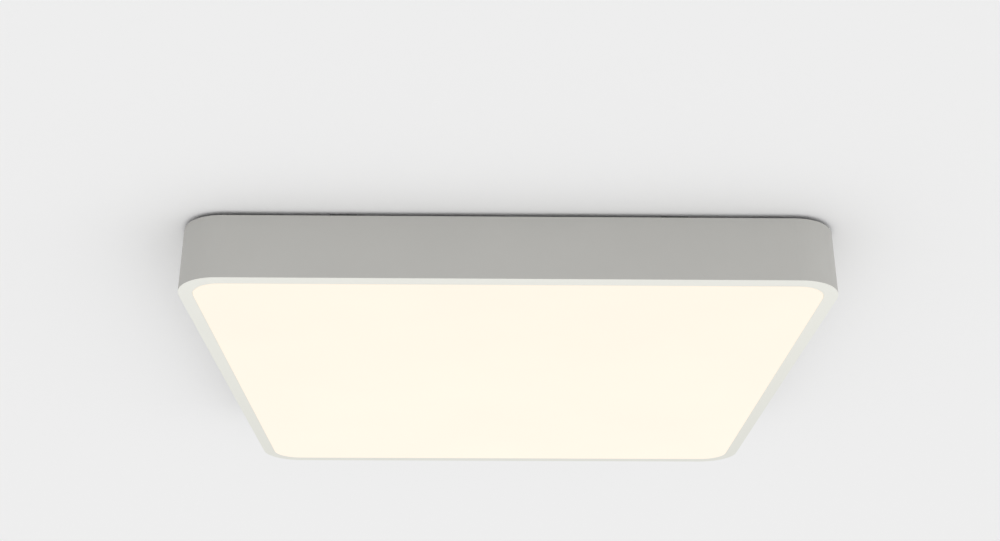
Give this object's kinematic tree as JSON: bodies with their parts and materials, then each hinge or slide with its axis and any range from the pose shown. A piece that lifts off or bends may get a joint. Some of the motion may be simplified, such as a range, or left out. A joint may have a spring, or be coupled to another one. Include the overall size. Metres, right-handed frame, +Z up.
{
  "type": "flush mount ceiling light",
  "caption": "Square ceiling light with rounded corners, grey side band, white bezel and opal diffuser; the cover pulls down off a tray with driver and LED boards.",
  "frame": {"origin": "centre of the tray's flat face against the ceiling", "axes": "+Z up into the ceiling, so the light hangs towards -Z; -Y is the side that the picture shows and X runs along it"},
  "size_m": [0.6, 0.6, 0.0653],
  "materials": {
    "band_paint": "satin warm grey powder coat",
    "bezel_white": "satin warm white moulded plastic",
    "opal": "satin opal acrylic, lit from behind",
    "foam": "closed-cell foam",
    "zinc_steel": "zinc-coated steel",
    "spring_steel": "blued spring steel",
    "felt": "black felt",
    "pan_white": "matt white reflector paint",
    "rubber_black": "matt rubber",
    "nylon_white": "natural nylon",
    "terminal_grey": "moulded terminal housing",
    "button_orange": "moulded button",
    "brass": "plain brass",
    "driver_white": "moulded driver housing",
    "board_green": "solder resist",
    "transformer_tape": "taped winding over ferrite",
    "capacitor_black": "shrink sleeve",
    "wire_brown": "PVC insulation",
    "wire_blue": "PVC insulation",
    "wire_green": "PVC insulation, green and yellow",
    "wire_red": "PVC insulation",
    "wire_black": "PVC insulation",
    "wire_white": "PVC insulation",
    "board_white": "white solder resist",
    "led_phosphor": "phosphor in a white package",
    "lens_clear": "clear moulded lens"
  },
  "bodies": {
    "tray": {"mounting_tray": "zinc_steel", "gap_pads": "felt", "spring_clips": "spring_steel", "clip_rivets": "zinc_steel", "cable_grommet": "rubber_black", "cord_clamp_base": "nylon_white", "cord_clamp_bridge": "nylon_white", "clamp_screws": "zinc_steel", "terminal_block": "terminal_grey", "terminal_contacts": "brass", "terminal_springs": "spring_steel", "terminal_screws": "zinc_steel", "earth_stud": "zinc_steel", "earth_lug": "brass", "earth_washer": "zinc_steel", "earth_nut": "zinc_steel", "driver_case": "driver_white", "driver_lid": "driver_white", "driver_board": "board_green", "driver_input_terminal": "terminal_grey", "driver_output_terminal": "terminal_grey", "driver_transformer": "transformer_tape", "driver_capacitors": "capacitor_black", "driver_screws": "zinc_steel", "wire_live": "wire_brown", "wire_neutral": "wire_blue", "wire_earth": "wire_green", "wire_saddles": "nylon_white", "wire_output_positive": "wire_red", "wire_output_negative": "wire_black", "standoffs": "zinc_steel", "reflector_pan": "pan_white", "pan_grommet": "rubber_black", "pan_screws": "zinc_steel", "strip_screws": "zinc_steel", "led_packages": "led_phosphor", "led_lenses": "lens_clear", "strip_connectors": "nylon_white", "strip_jumpers": "wire_white", "led_strip_1": "board_white", "led_strip_2": "board_white", "led_strip_3": "board_white", "led_strip_4": "board_white", "led_strip_5": "board_white", "led_strip_6": "board_white", "led_strip_7": "board_white", "led_strip_8": "board_white"},
    "cover": {"side_band": "band_paint", "front_bezel": "bezel_white", "diffuser": "opal", "diffuser_gasket": "foam", "frame_brackets": "zinc_steel", "bracket_rivets": "zinc_steel", "bracket_screws": "zinc_steel"},
    "release_button_live": {"release_button_live": "button_orange"},
    "release_button_neutral": {"release_button_neutral": "button_orange"},
    "release_button_earth": {"release_button_earth": "button_orange"}
  },
  "joints": [
    {"name": "cover_pull", "type": "slide", "parent": "tray", "child": "cover", "axis": [0, 0, -1], "range_m": [0, 0.1], "deforming": ["spring_clips"]},
    {"name": "live_button_press", "type": "slide", "parent": "tray", "child": "release_button_live", "axis": [0, 0, 1], "range_m": [0, 0.0015], "stiffness_N_per_m": 1500, "springref_m": -0.001},
    {"name": "neutral_button_press", "type": "slide", "parent": "tray", "child": "release_button_neutral", "axis": [0, 0, 1], "range_m": [0, 0.0015], "stiffness_N_per_m": 1500, "springref_m": -0.001},
    {"name": "earth_button_press", "type": "slide", "parent": "tray", "child": "release_button_earth", "axis": [0, 0, 1], "range_m": [0, 0.0015], "stiffness_N_per_m": 1500, "springref_m": -0.001}
  ]
}
